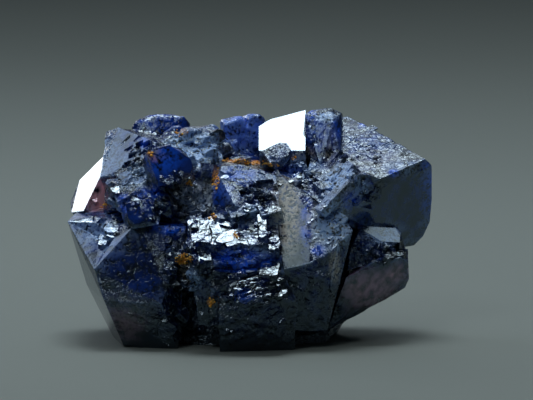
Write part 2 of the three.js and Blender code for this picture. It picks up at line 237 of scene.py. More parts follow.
# single crystals: x and z, long, wide and high, share standing proud, the way they face across,
# deep and up, the roll of the long side in degrees, how dull that face is, and corners cut off
SINGLE = [
    (-1.78, 3.93, 0.42, 1.15, 0.6, 0.5, (-0.06, -0.66, 0.75), 14, 0.62, 2),
    (-1.45, 3.98, 0.44, 1.25, 0.6, 0.5, (-0.01, -0.67, 0.74), -12, 0.65, 2),
    (-1.12, 4.1, 0.3, 0.45, 0.3, 0.5, (-0.03, -0.66, 0.75), 24, 0.62, 2),
    (-0.78, 4.28, 0.62, 0.2, 0.25, 0.5, (0.0, -0.64, 0.77), -32, 0.6, 1),
    (-0.98, 3.72, 0.5, 0.6, 0.5, 0.4, (-0.05, -0.66, 0.75), -24, 0.65, 2),
    (-0.62, 3.68, 0.45, 0.5, 0.5, 0.42, (0.0, -0.65, 0.76), 30, 0.65, 2),
    (-0.1, 3.6, 0.45, 0.6, 0.8, 0.5, (0.03, -0.67, 0.74), -35, 0.65, 2),
    (0.16, 3.5, 0.4, 0.5, 0.9, 0.52, (0.0, -0.66, 0.75), 15, 0.65, 2),
    (0.42, 3.97, 0.27, 1.15, 0.8, 0.55, (0.04, -0.67, 0.74), 6, 0.6, 2),
    (-1.58, 2.8, 0.6, 0.45, 1.2, 0.58, (0.0, -0.67, 0.74), 8, 0.58, 2),
    (0.66, 2.72, 0.6, 0.78, 0.55, 0.5, (0.02, -0.67, 0.74), -12, 0.58, 2),
    (0.15, 2.05, 1.5, 1.0, 0.8, 0.22, (0.0, -0.95, 0.3), 22, 0.9, 3),
    (-0.85, 2.64, 0.75, 0.14, 0.55, 0.42, (-0.02, -0.67, 0.74), -12, 0.58, 1),
    (-0.1, 2.64, 0.7, 0.14, 0.55, 0.42, (0.0, -0.67, 0.74), 14, 0.58, 1),
    (-2.7, 6.25, 1.4, 1.25, 0.8, 0.4, (0.28, -0.9, 0.33), 20, 0.5, 3),
    (-3.6, 4.75, 0.9, 0.75, 0.7, 0.4, (-0.2, -0.97, 0.15), 10, 0.6, 3),
    (4.45, 3.95, 1.25, 0.55, 0.5, 0.25, (0.02, -0.86, 0.51), -4, 0.2, 2),
]
SINGLE_STRAY = 1  # degrees off the way they face
UP_FRONT = toward(-0.02, -0.66, 0.75)
# long growth layers that face up, left and to the front
SLOPES = {
    "right slope": (2.95, 5.65, 0.3, 0.5, 16, 0.28, 0.45, 0.6, 3, 66),
    "right slope, high": (2.9, 6.4, 0.15, 0.3, 6, 0.2, 0.3, 0.5, 3, 75),
}
UP_LEFT = toward(-0.497, -0.605, 0.622)
# square pits, given as the steps of the front are
PITS = {
    "column top": (0.25, 5.3, 0.6, 0.6, 18, 0.15, 0.4, 0.5, 14),
    "lower left top": (-5.2, 4.25, 0.6, 0.6, 26, 0.04, 0.12, 0.6, 8),
    "column": (-0.2, 3.0, 1.2, 1.2, 14, 0.15, 0.4, 0.5, 14),
}
# narrow slots between growth layers, the same and the direction they run in, degrees from level
SLOTS = {
    "upper left, high": (-3.75, 7.1, 0.5, 0.35, 10, 0.07, 0.14, 0.6, 14, 38),
    "upper left, middle": (-3.9, 6.6, 0.5, 0.45, 16, 0.06, 0.13, 0.6, 14, 36),
    "upper left, low": (-4.05, 6.05, 0.6, 0.3, 12, 0.06, 0.12, 0.6, 14, 32),
}


def scatter(patches, collection, facing=None, cuts=3):
    """Small crystals at random over each patch of the front, each patch with its own seed."""
    for name, patch in patches.items():
        x, z, half_wide, half_high, count, small, large, proud, stray, *run = patch
        rng.seed(name)
        for _ in range(count):
            angle, reach = rng.uniform(0, math.tau), math.sqrt(rng.random())
            place, normal, index = front(
                x + half_wide * reach * math.cos(angle), z + half_high * reach * math.sin(angle)
            )
            size = small + (large - small) * rng.random() ** 2
            if place is None:
                continue
            slender = rng.uniform(*SLENDER)
            if not facing:
                edge = longest_edge(grown.faces[index])
            else:
                normal, edge = facing, (ACROSS + RISE * rng.uniform(-0.9, 0.9)).normalized()
            if run:
                edge = heading(run[0] + rng.uniform(-RUN_STRAY, RUN_STRAY))
                slender *= RUN_LONG
            sizes = size * slender, size, size * rng.uniform(*THICK)
            collection.objects.link(small_crystal(place, normal, edge, sizes, proud, stray, cuts))


steps = bpy.data.collections.new("steps")
pits = bpy.data.collections.new("pits")
scatter(STEPS_FRONT, steps)
scatter(LEDGES, steps, UP_FRONT)
for x, z, long, wide, high, proud, facing, roll, _, cuts in SINGLE:
    rng.seed(round(x * 100))  # each has its own seed, from its place
    sizes = long, wide, high
    crystal = small_crystal(
        front(x, z)[0], toward(*facing), heading(roll), sizes, proud, SINGLE_STRAY, cuts
    )
    steps.objects.link(crystal)
scatter(SLOPES, steps, UP_LEFT, cuts=1)
scatter(PITS, pits)
scatter(SLOTS, pits)

# small crystals all over the back: how many are tried, their sizes, the share standing proud
# and degrees off the face under them
STEPS_BACK, BACK_SIZES, BACK_PROUD, BACK_STRAY = 90, (0.12, 0.4), 0.25, 7
BACK_HALF = 1.0  # what lies deeper than this is only seen from behind
ABOVE_BREAK = 0.3  # none grows lower than this, where the cluster broke off
LEFT_LIMIT, TOP_LIMIT, BEHIND_FRONT = -4.6, 6.9, 0.6  # none alters the outline seen from the front
behind = [
    f
    for f in grown.faces
    if f.normal.dot(DEEP) > -0.1 and f.calc_center_median().z > ABOVE_BREAK
]
grown_behind = []
for face in rng.choices(behind, weights=[f.calc_area() for f in behind], k=STEPS_BACK):
    a, b, c = rng.sample(list(face.verts), 3)
    s, t = sorted((rng.random(), rng.random()))
    place = a.co * s + b.co * (t - s) + c.co * (1 - t)
    size = rng.uniform(*BACK_SIZES)
    sizes = size * rng.uniform(*SLENDER), size, size * rng.uniform(*THICK)
    seen, _, _ = front(place.x, place.dot(RISE) + FOOT)
    if place.x < LEFT_LIMIT or place.z > TOP_LIMIT:
        continue
    if not seen or (place - seen).dot(DEEP) < BEHIND_FRONT:
        continue
    if place.dot(DEEP) > BACK_HALF and face.normal.dot(DEEP) > 0.3:
        grown_behind.append(place)
    crystal = small_crystal(place, face.normal, longest_edge(face), sizes, BACK_PROUD, BACK_STRAY)
    steps.objects.link(crystal)

# specks that face the front, on the small crystals as well as on the large ones
TO_FRONT = toward(-0.17, -0.943, 0.286)
SPECKS = {
    "dark pyramid": (-2.5, 5.75, 0.5, 0.4, 40, 0.05, 0.14, 0.5, 12),
    "left hollow": (-2.1, 3.0, 0.7, 0.9, 80, 0.05, 0.18, 0.6, 12),
    "left of the column": (-1.9, 5.1, 0.7, 0.6, 26, 0.05, 0.14, 0.5, 12),
    "column foot": (-0.2, 1.9, 1.0, 0.4, 14, 0.05, 0.14, 0.5, 12),
    "column": (-0.2, 3.3, 1.0, 0.4, 12, 0.05, 0.14, 0.5, 12),
    "below the white face": (1.5, 6.1, 0.8, 0.5, 14, 0.05, 0.14, 0.5, 14),
    "right slope": (2.6, 6.2, 0.5, 0.6, 8, 0.05, 0.12, 0.5, 14),
    "right shoulder": (3.5, 5.5, 0.5, 0.4, 8, 0.05, 0.14, 0.5, 14),
    "foot": (-0.8, 1.3, 2.2, 0.7, 16, 0.05, 0.12, 0.5, 12),
    "lower left front": (-3.6, 2.6, 1.0, 1.0, 12, 0.04, 0.08, 0.5, 12),
    "lower right ledges": (4.2, 3.4, 1.0, 0.4, 16, 0.05, 0.14, 0.5, 14),
    "left step": (-3.4, 5.1, 0.6, 0.5, 12, 0.05, 0.14, 0.5, 14),
}
# thin growth layers near the column's foot
RIPPLES = {
    "column foot": (0.1, 2.2, 0.75, 0.4, 60, 0.07, 0.15, 0.6, 6, 22),
    "column foot, low": (0.4, 1.9, 0.5, 0.2, 16, 0.07, 0.13, 0.6, 6, 24),
    "column middle": (-0.2, 3.2, 0.8, 0.3, 14, 0.07, 0.14, 0.6, 8, -10),
    "middle right": (2.6, 4.3, 0.6, 0.7, 14, 0.05, 0.12, 0.5, 8, 50),
    "left hollow": (-1.95, 2.3, 0.3, 0.15, 16, 0.07, 0.15, 0.6, 8, 30),
}


def joined(mass, *rounds):
    """The mass after a round or more of cuts and joins with the crystals of a collection."""
    cluster = as_object("crystal_mass", mass)
    bpy.context.scene.collection.objects.link(cluster)
    for operation, tools in rounds:
        join = cluster.modifiers.new(operation, "BOOLEAN")
        join.operation, join.solver = operation, "MANIFOLD"
        join.operand_type, join.collection = "COLLECTION", tools
    graph = bpy.context.evaluated_depsgraph_get()
    done = bmesh.new()
    done.from_mesh(bpy.data.meshes.new_from_object(cluster.evaluated_get(graph)))
    used = [o for _, tools in rounds for o in tools.objects]
    bpy.data.batch_remove([cluster, *used, *(tools for _, tools in rounds)])
    return done


bm = joined(grown.copy(), ("DIFFERENCE", pits), ("UNION", steps))
# what comes next sits on the joined surface, and the finish then reads the large crystals' own
large_surface, surface = surface, BVHTree.FromBMesh(bm)
specks = bpy.data.collections.new("specks")
scatter(SPECKS, specks, TO_FRONT)
scatter(RIPPLES, specks, UP_FRONT)
bm = joined(bm, ("UNION", specks))
surface = large_surface

# ---- The finish of the faces
# The cleanest faces are flat and shine; the rest are ridged and stepped by growth and by
# fracture. A face is split into small triangles before its ridges are raised.
SLIVER = 0.003  # edges shorter than this close up
bmesh.ops.triangulate(bm, faces=bm.faces)
bmesh.ops.remove_doubles(bm, verts=bm.verts, dist=SLIVER)

# x and z of a spot on each flat face, and how dull the face is
FLAT = {
    "upper left": (-4.7, 6.6, 0.4),
    "white left": (-5.7, 5.5, 0.0),
    "white left top": (-5.17, 6.5, 0.0),
    "white left foot": (-5.8, 5.0, 0.0),
    "lower left top": (-5.3, 3.95, 0.5),
    "lower left top behind": (-5.78, 4.42, 0.5),
    "lower left top inner": (-4.96, 4.66, 0.5),
    "lower left side": (-5.95, 3.81, 0.3),
    "lower left side foot": (-5.13, 1.94, 0.3),
    "lower left side, low": (-4.95, 1.2, 0.3),
    "lower left front": (-4.2, 3.0, 0.45),
    "lower left underside": (-4.2, 1.2, 0.35),
    "white": (1.1, 7.5, 0.0),
    "white edge": (0.45, 7.6, 0.0),
    "standing": (2.3, 7.0, 0.9),
    "right": (4.9, 5.2, 0.15),
    "right below": (5.6, 4.0, 0.15),
    "right top": (4.3, 6.9, 1.6),
    "lower right": (4.2, 2.3, 0.3),
    "lower right top": (4.5, 4.0, 0.1),
    "band": (1.25, 4.5, 0.6),
    "blade": (2.85, 3.0, 0.3),
    "dark pyramid": (-2.8, 6.6, 0.4),
    "purple": (-5.05, 5.4, 0.2),
    "column left": (-0.95, 5.4, 0.3),
    "column top": (-0.65, 6.0, 2.5),
}
# x and z, half width and height of the other dull patches, and how dull they are
DULL = {
    "band": (1.25, 4.6, 0.6, 2.0, 0.6),
    "right top": (4.3, 6.9, 2.2, 1.2, 1.6),
    "top lump": (-3.1, 7.8, 1.4, 0.8, 1.0),
    "behind": (-0.4, 7.6, 1.0, 0.8, 1.0),
    "middle right": (2.6, 4.4, 0.9, 0.9, 0.9),
}
ROUGH, CRYSTAL_DULL, BREAK_DULL = 2.0, 0.6, 0.9  # all other faces, small crystals and the break
FLAT_BEHIND, BEHIND_DULL = 14, (0.1, 0.5)  # the largest faces behind are flat too
BREAK_AREA = 2  # a face of the break is larger than this, in square millimetres
# how alike two directions are, as a cosine, for a small crystal, a single one and a flat face
SMALL_ALIKE, SINGLE_ALIKE, FLAT_ALIKE = 0.98, 0.997, 0.996
OFF_MASS, OFF_PLANE = 0.015, 0.012  # least height of a small crystal's face, most of a flat one's
SINGLE_REACH = 1.3  # how far round a single crystal its faces are looked for, by its length

flats = [(*front(x, z)[:2], dull) for x, z, dull in FLAT.values()]
for face in sorted(behind, key=lambda f: -f.calc_area())[:FLAT_BEHIND]:
    flats.append((face.calc_center_median(), face.normal.copy(), rng.uniform(*BEHIND_DULL)))
for face in grown.faces:
    if face.normal.z < -0.9 and face.calc_area() > BREAK_AREA:
        flats.append((face.calc_center_median(), face.normal.copy(), BREAK_DULL))

dull_face = bm.faces.layers.float.new("dull")
centres = np.array([f.calc_center_median() for f in bm.faces])
facings = np.array([f.normal for f in bm.faces])
dulls = np.full(len(centres), ROUGH)
for x, z, half_wide, half_high, dull in DULL.values():
    dulls[within(centres, x, z, half_wide, half_high) > 0] = dull
alike = (facings @ np.array([UP_FRONT, UP_LEFT, TO_FRONT]).T > SMALL_ALIKE).any(axis=1)
for i in np.nonzero(alike)[0]:
    if surface.find_nearest(centres[i])[3] > OFF_MASS:
        dulls[i] = CRYSTAL_DULL
for x, z, long, _, _, _, facing, _, dull, _ in SINGLE:
    close = within(centres, x, z, long * SINGLE_REACH, long * SINGLE_REACH) > 0
    dulls[close & (facings @ np.array(toward(*facing)) > SINGLE_ALIKE)] = dull
for place, normal, dull in flats:
    alike = facings @ np.array(normal) > FLAT_ALIKE
    level = np.abs((centres - np.array(place)) @ np.array(normal)) < OFF_PLANE
    dulls[alike & level] = dull
for x, z, half_wide, half_high, _, dull in WORN.values():
    place, normal, _ = front(x, z)
    near = np.abs((centres - np.array(place)) @ np.array(normal)) < LOW_STEP
    dulls[near & (within(centres, x, z, half_wide, half_high) > 0)] = dull
for f, dull in zip(bm.faces, dulls):
    f[dull_face] = float(dull)

# centre x and z, half width and height, direction of the ridges in degrees from level, their
# length and width, and their height
RIDGES = {
    "upper left ledges": (-3.7, 6.5, 0.55, 1.0, 36, 0.6, 0.12, 0.09),
    "upper left foot": (-3.7, 5.6, 1.2, 0.6, -20, 0.5, 0.3, 0.06),
    "dark pyramid": (-2.6, 5.8, 0.8, 0.6, 30, 0.3, 0.2, 0.07),
    "behind the column": (-2.0, 7.0, 1.6, 1.1, 20, 0.5, 0.3, 0.09),
    "left of the column": (-2.0, 5.0, 1.0, 0.9, 60, 0.4, 0.25, 0.08),
    "left hollow": (-2.2, 2.9, 1.0, 1.5, -30, 0.4, 0.25, 0.08),
    "left step": (-3.6, 4.9, 0.9, 0.7, 10, 0.4, 0.3, 0.05),
    "column hollow": (0.25, 5.2, 0.8, 0.8, 40, 0.35, 0.22, 0.14),
    "column left": (-1.6, 3.9, 0.7, 1.0, 15, 0.6, 0.35, 0.12),
    "column": (0.1, 3.6, 1.4, 1.0, 8, 0.8, 0.3, 0.13),
    "column foot": (0.1, 2.2, 1.3, 0.9, 24, 0.7, 0.13, 0.09),
    "below the white face": (1.6, 6.2, 1.2, 0.8, -50, 0.35, 0.2, 0.07),
    "right slope": (3.0, 5.8, 0.9, 1.0, 52, 0.9, 0.18, 0.07),
    "right top": (4.3, 6.9, 1.9, 1.0, 40, 0.4, 0.25, 0.035),
    "right shoulder": (3.7, 5.5, 0.7, 0.6, 0, 0.4, 0.3, 0.08),
    "middle right": (2.6, 4.3, 1.0, 1.3, -60, 0.3, 0.15, 0.035),
    "middle foot": (2.0, 2.5, 1.1, 0.9, -20, 0.7, 0.2, 0.06),
    "lower right ledges": (4.2, 3.3, 1.2, 0.5, 12, 0.8, 0.2, 0.08),
    "lower left foot": (-3.4, 1.6, 1.6, 1.0, -12, 0.9, 0.25, 0.04),
    "foot": (-0.2, 1.1, 1.8, 0.8, 10, 0.9, 0.4, 0.1),
    "top lump": (-3.1, 7.7, 1.3, 0.8, 0, 0.7, 0.4, 0.04),
    "behind": (-0.4, 7.6, 1.2, 0.9, 0, 0.5, 0.4, 0.06),
    "standing": (2.4, 7.5, 0.8, 0.9, 80, 0.7, 0.14, 0.045),
}
# the longest edges left where there are ridges, elsewhere, out of sight and on flat faces
RIDGED_EDGE, PLAIN_EDGE, HIDDEN_EDGE, FLAT_EDGE = 0.105, 0.2, 0.36, 0.9
SHINY = 0.55  # faces less dull than this stay flat

# long edges are halved, and halved again
for _ in range(5):
    edges = list(bm.edges)
    middles = np.array([(e.verts[0].co + e.verts[1].co) / 2 for e in edges])
    limits = np.where(middles @ np.array(DEEP) > BACK_HALF, HIDDEN_EDGE, PLAIN_EDGE)
    for x, z, half_wide, half_high, *_ in RIDGES.values():
        limits[within(middles, x, z, half_wide, half_high) > 0.2] = RIDGED_EDGE
    for i, edge in enumerate(edges):
        if all(f[dull_face] < SHINY for f in edge.link_faces):
            limits[i] = FLAT_EDGE
    long = [e for e, limit in zip(edges, limits) if e.calc_length() > limit]
    if not long:
        break
    bmesh.ops.subdivide_edges(bm, edges=long, cuts=1)
    bmesh.ops.triangulate(bm, faces=[f for f in bm.faces if len(f.verts) > 3])

# the lumps behind are rounded: x and z, half width and height, and how dull they are at least
LUMPS = {"top lump": (-3.1, 7.8, 1.6, 1.0), "behind": (-0.4, 7.7, 1.3, 1.0)}
LUMP_DULL = 0.9
for x, z, half_wide, half_high in LUMPS.values():
    near = within(np.array([v.co for v in bm.verts]), x, z, half_wide, half_high) > 0
    lump = [
        v
        for v, inside in zip(bm.verts, near)
        if inside and all(f[dull_face] > LUMP_DULL for f in v.link_faces)
    ]
    for _ in range(10):
        bmesh.ops.smooth_vert(
            bm, verts=lump, factor=0.5, use_axis_x=True, use_axis_y=True, use_axis_z=True
        )
points = np.array([v.co for v in bm.verts])
bm.normal_update()
# broad and narrow swells over all the rough faces, and the ridges on top of them
lift = np.array([noise.noise(v.co * 1.7) * 0.03 + noise.noise(v.co * 5.5) * 0.02 for v in bm.verts])
for number, patch in enumerate(RIDGES.values()):
    x, z, half_wide, half_high, angle, length, width, height = patch
    share = within(points, x, z, half_wide, half_high)
    along = heading(angle)
    over = RISE * math.cos(math.radians(angle)) - ACROSS * math.sin(math.radians(angle))
    for i in np.nonzero(share)[0]:
        p = Vector(points[i])
        bend = noise.noise(p * 1.1 + Vector((number, 0, 0))) * 0.5
        u, v, w = p.dot(along) / length + number, p.dot(over) / width + bend, p.dot(DEEP) / width
        crest = 1 - 2 * abs(noise.noise(Vector((u, v, w))))
        lift[i] += share[i] * height * (crest - 0.5)
FRONTMOST = cad_box[0][1] / MM - 0.2  # nothing stands further out in front than this
for v, rise in zip(bm.verts, lift):
    dull = min((f[dull_face] for f in v.link_faces), default=0)
    # the duller the faces round it, the further a corner moves
    if dull > SHINY:
        v.co += v.normal * float(rise) * min(1, (dull - 0.2) / 1.2)
    v.co.y, v.co.z = max(v.co.y, FRONTMOST), max(v.co.z, 0)

# ---- Its colours
# Boleite is so deep a blue that it looks black. Where thin edges and cracks let light through, a
# blue glow is painted in, and as painted shade the colour grows darker towards the foot. A pale
# film, partly dust and partly painted sheen, dulls the rough faces. Sharp edges get a painted
# highlight, some faces take a painted reddish reflection of their surroundings, a buff crust in
# the hollows is partly painted fill light, and limonite has stained the crevices.

# each list has the patches of one colour: x and z, half width and height, and strength.
# painted glow: bright blue where light would come through thin parts of the crystal, and on some faces
# in shade
PAINTED_GLOW_SPOTS = {
    "column top": (-0.4, 6.0, 0.8, 0.4, 0.5),
    "top lump": (-3.1, 7.9, 1.3, 0.5, 0.35),
    "lower left edge": (-4.7, 3.4, 0.5, 0.9, 0.1),
    "right top": (3.9, 7.0, 1.2, 0.7, 0.15),
    "dark pyramid": (-2.95, 6.6, 0.8, 0.8, 0.7),
    "column left": (-0.95, 5.45, 0.5, 0.6, 0.38),
    "right edge": (6.0, 5.8, 0.3, 0.9, 1.0),
    "right edge, low": (6.0, 5.0, 0.3, 0.8, 0.8),
    "under the right top": (4.9, 6.1, 0.25, 0.2, 1.0),
    "under the left step": (-2.7, 4.25, 0.7, 0.3, 1.0),
    "lower left front": (-4.2, 3.2, 0.9, 0.9, 0.05),
    "lower left front, low": (-3.6, 2.3, 0.8, 0.5, 0.15),
    "left step, top": (-3.4, 5.4, 0.6, 0.35, 0.6),
    "left step, left": (-4.2, 5.0, 0.3, 0.5, 0.6),
    "beside the band": (1.9, 4.5, 0.3, 1.1, 0.6),
    "beside the band, spot": (1.87, 4.96, 0.14, 0.14, 1.0),
    "below the middle right": (2.3, 3.5, 0.3, 0.3, 0.6),
    "behind": (-0.3, 7.6, 1.1, 0.9, 0.8),
    "left step": (-3.7, 4.8, 0.6, 0.5, 0.25),
    "standing": (2.3, 7.4, 0.6, 0.8, 0.35),
    "standing, top": (2.0, 8.1, 0.4, 0.3, 0.8),
    "column middle": (-0.3, 3.2, 1.0, 0.5, 1.0),
    "right top, spot": (3.8, 7.75, 0.2, 0.15, 1.0),
    "upper left ledges": (-3.6, 7.1, 0.3, 0.25, 0.8),
    "below the white face": (1.3, 6.1, 0.6, 0.4, 0.6),
    "column side": (0.6, 3.2, 0.3, 0.3, 0.6),
    "column foot": (-0.2, 2.0, 0.5, 0.3, 0.4),
    "right shoulder": (3.3, 5.2, 0.6, 0.5, 0.8),
    "standing, right": (2.9, 7.4, 0.25, 0.8, 0.5),
}
# a pale film, partly dust and partly painted sheen: painted highlights such as the lower left streak,
# and painted light on faces in shade
PALE_FILM_AND_SHEEN = {
    "right shoulder": (3.6, 5.6, 0.6, 0.5, 0.6),
    "column middle": (0.0, 3.4, 0.9, 0.4, 0.5),
    "upper left": (-4.8, 6.7, 0.6, 1.1, 0.5),
    "upper left foot": (-3.9, 5.9, 0.8, 0.6, 0.5),
    "lower left top": (-5.2, 4.2, 0.9, 0.9, 0.4),
    "lower left streak": (-4.85, 4.1, 0.35, 0.7, 1.2),
    "behind the column": (-1.9, 6.9, 1.2, 0.8, 1.4),
    "behind": (-0.4, 7.6, 1.1, 0.9, 0.9),
    "left of the column": (-1.9, 5.2, 0.9, 0.7, 0.5),
    "left hollow": (-2.0, 2.5, 0.5, 0.5, 0.8),
    "column top": (-0.6, 6.0, 0.8, 0.4, 0.35),
    "column top, right": (0.5, 5.9, 0.6, 0.3, 0.35),
    "column hollow": (0.1, 4.8, 0.4, 0.3, 0.6),
    "below the white face": (1.7, 6.2, 1.0, 0.6, 0.6),
    "right slope": (3.0, 5.9, 0.7, 1.0, 1.0),
    "right top": (4.2, 6.9, 1.9, 0.9, 0.15),
    "middle right": (2.75, 4.4, 0.85, 1.1, 1.2),
    "lower right top": (4.5, 4.0, 0.8, 0.4, 1.0),
    "standing": (2.4, 7.4, 0.6, 0.9, 0.15),
    "standing, top": (2.6, 8.0, 0.5, 0.25, 1.0),
    "right top, front edge": (5.2, 6.3, 0.9, 0.4, 0.4),
}
# a buff crust, and in the hollows partly painted fill light that lifts their shade
BUFF_AND_FILL = {
    "right slope": (3.0, 5.9, 0.7, 1.0, 0.5),
    "middle right": (2.6, 4.4, 0.9, 0.9, 1.4),
    "band": (1.25, 4.8, 0.6, 1.9, 1.0),
    "left of the column": (-1.9, 5.2, 1.0, 0.7, 0.9),
    "left hollow": (-2.1, 3.1, 0.75, 1.0, 1.5),
    "left of the column, high": (-2.1, 5.75, 0.5, 0.4, 0.6),
    "column top": (-0.2, 6.35, 0.9, 0.3, 0.7),
    "blade": (2.85, 3.0, 0.25, 0.7, 1.0),
    "below the white face": (1.9, 6.7, 0.7, 0.4, 0.7),
    "dark pyramid, top left": (-3.2, 6.7, 0.4, 0.3, 0.6),
    "right top": (4.3, 6.6, 1.2, 0.5, 0.4),
    "purple, foot": (-5.0, 5.0, 0.5, 0.2, 0.7),
    "standing": (2.7, 7.0, 0.4, 0.9, 0.25),
    "lower left underside": (-4.5, 1.4, 1.6, 1.0, 0.12),
}
OCHRE = {
    "column top, left edge": (-1.15, 5.9, 0.13, 0.5, 1.0),
    "column top, back edge": (-0.5, 6.5, 0.5, 0.09, 1.0),
    "column top, back edge, right": (0.2, 6.45, 0.5, 0.09, 1.0),
    "dark pyramid, top left": (-3.4, 6.73, 0.15, 0.12, 0.8),
    "left of the column": (-2.04, 5.75, 0.15, 0.15, 0.9),
    "left hollow": (-2.2, 3.2, 0.3, 0.22, 2.0),
    "column foot": (-1.3, 1.77, 0.14, 0.16, 0.9),
    "below the white face": (1.45, 6.6, 0.12, 0.08, 0.5),
    "column brow": (-0.44, 4.0, 0.14, 0.12, 0.8),
    "column left": (-1.26, 4.6, 0.14, 0.16, 0.7),
    "purple, foot": (-4.93, 5.0, 0.25, 0.12, 0.7),
    "column top, right": (0.7, 6.35, 0.3, 0.08, 0.8),
    "behind the column": (-2.3, 7.5, 0.3, 0.2, 0.3),
}
# painted reflection: the reddish brown of the surroundings, mirrored on faces turned towards them
PAINTED_WARM_REFLECTION = {
    "purple": (-5.0, 5.3, 0.8, 0.6, 1.6),
    "lower right, high": (5.0, 2.7, 0.6, 0.4, 0.8),
    "lower right": (4.0, 2.2, 1.3, 0.8, 0.45),
    "lower left underside": (-4.5, 1.0, 1.2, 0.7, 0.15),
    "lower left side": (-4.95, 1.2, 0.4, 1.2, 0.35),
}
# limonite has gathered round some of the small crystals behind too
STAINED, STAIN_REACH = grown_behind[::6], 0.3
# how sharp an edge must be for a painted highlight, the step between points on it, and its reach
SHARP, EDGE_STEP, EDGE_HIGHLIGHT_WIDTH = math.radians(25), 0.04, 0.07


def painted(points, spots, places):
    """How strong a colour is at each point, from its patches and from places it gathers round."""
    amount = np.zeros(len(points))
    for place in places:
        away = np.linalg.norm(points - np.array(place), axis=1)
        amount = np.maximum(amount, np.clip(2 - 2 * away / STAIN_REACH, 0, 1))
    for x, z, half_wide, half_high, strength in spots.values():
        if front(x, z)[0] is not None:
            amount = np.maximum(amount, strength * within(points, x, z, half_wide, half_high))
    return amount


# the sharp edges of the large crystals, as points along them, and how near the surface is to one
sharp = []
for edge in grown.edges:
    if edge.is_convex and edge.calc_face_angle(0) > SHARP:
        a, b = (v.co for v in edge.verts)
        count = max(1, int(edge.calc_length() / EDGE_STEP))
        sharp += [a.lerp(b, i / count) for i in range(count + 1)]
edge_tree = KDTree(len(sharp))
for i, point in enumerate(sharp):
    edge_tree.insert(point, i)
edge_tree.balance()
# painted highlight: points near a sharp edge are painted pale, as if the edge caught the light
edge_highlight = [max(0, 1 - edge_tree.find(v.co)[2] / EDGE_HIGHLIGHT_WIDTH) for v in bm.verts]
surface = BVHTree.FromBMesh(bm)  # from here on it is the finished one
cluster = as_object("boleite_crystals", bm, MM)
bpy.context.scene.collection.objects.link(cluster)
cluster.data.attributes.new("edge_highlight", "FLOAT", "POINT").data.foreach_set("value", edge_highlight)
colours = {"painted_glow": PAINTED_GLOW_SPOTS, "pale_film_sheen": PALE_FILM_AND_SHEEN, "buff_and_fill": BUFF_AND_FILL, "ochre": OCHRE, "warm_reflection": PAINTED_WARM_REFLECTION}
for name, spots in colours.items():
    layer = cluster.data.attributes.new(name, "FLOAT", "POINT")
    places = STAINED if name == "ochre" else ()
    layer.data.foreach_set("value", painted(points, spots, places).astype(np.float32))


class Value:
    """An output socket of a material's nodes; sums and products of these add Math nodes."""

    def __init__(self, tree, socket=None):
        self.tree, self.socket = tree, socket

    def node(self, kind, settings=None, sockets=None, output=0):
        made = self.tree.nodes.new(kind)
        for name, value in (settings or {}).items():
            setattr(made, name, value)
        for name, value in (sockets or {}).items():
            if isinstance(value, Value):
                self.tree.links.new(value.socket, made.inputs[name])
            else:
                made.inputs[name].default_value = value
        return Value(self.tree, made.outputs[output])

    def maths(self, operation, *terms, clamp=False):
        settings = {"operation": operation, "use_clamp": clamp}
        return self.node("ShaderNodeMath", settings, dict(enumerate(terms)))

    def __add__(self, other):
        return self.maths("ADD", self, other)

    def __sub__(self, other):
        return self.maths("SUBTRACT", self, other)

    def __rsub__(self, other):
        return self.maths("SUBTRACT", other, self)

    def __mul__(self, other):
        return self.maths("MULTIPLY", self, other)

    __radd__ = __add__
    __rmul__ = __mul__

    def between(self, low, high):
        """0 below low, 1 above high, and a straight ramp from one to the other."""
        return self.node(
            "ShaderNodeMapRange", None, {"Value": self, "From Min": low, "From Max": high}
        )

    def mixed(self, low, high):
        """One colour where this is 0 and another where it is 1."""
        return self.node(
            "ShaderNodeMix", {"data_type": "RGBA"}, {0: self, 6: low, 7: high}, output=2
        )

    def vector(self, operation, other=None, scale=None):
        """The same sums for places, colours and directions."""
        terms = {0: self}
        if other is not None:
            terms[1] = other
        if scale is not None:
            terms["Scale"] = scale
        return self.node("ShaderNodeVectorMath", {"operation": operation}, terms)

    def attribute(self, name):
        return self.node("ShaderNodeAttribute", {"attribute_name": name}, output="Fac")

    def noise(self, where, scale, detail):
        return self.node(
            "ShaderNodeTexNoise", None, {"Vector": where, "Scale": scale, "Detail": detail}
        )


def finish(name, roughness, ior=1.5):
    """A new material with its shader, and a Value that makes its nodes."""
    material = bpy.data.materials.new(name)
    material.use_nodes = True
    shader = material.node_tree.nodes["Principled BSDF"]
    shader.inputs["Roughness"].default_value = roughness
    shader.inputs["IOR"].default_value = ior
    return material, shader, Value(material.node_tree)


boleite, shader, nodes = finish("boleite", 0.15, 2.05)
shader.inputs["Specular Tint"].default_value = (0.64, 0.85, 1, 1)
where = nodes.node("ShaderNodeTexCoord", output="Object")
place = nodes.node("ShaderNodeMapping", None, {"Vector": where, "Scale": (1 / MM,) * 3})
dull = nodes.attribute("dull")
painted_glow = nodes.attribute("painted_glow")
pale_film_sheen = nodes.attribute("pale_film_sheen")
ochre = nodes.attribute("ochre")
broad = nodes.noise(place, 0.9, 3)
mottle = nodes.noise(place, 3.5, 5)
grain = nodes.noise(place, 11, 4)
depth = (broad * 0.4 + mottle * 0.6).between(0.43, 0.6)
# painted shade: 0 at the foot and 1 from 4 mm up, so the blue tone and the painted edge highlight fade
# towards the foot
high = nodes.node("ShaderNodeSeparateXYZ", None, {"Vector": place}, "Z").between(0, 4)
deep_tone_and_painted_shade = (depth * high).mixed((0.001, 0.002, 0.006, 1), (0.004, 0.022, 0.16, 1))
# painted glow: a bright blue base colour in place of light passing through the crystal
glow = painted_glow * (grain * 0.5 + mottle * 0.5).between(0.38, 0.54)
body = glow.mixed(deep_tone_and_painted_shade, (0.005, 0.12, 1, 1))
crust = (grain * 0.8 + mottle * 0.2).between(0.44, 0.52)
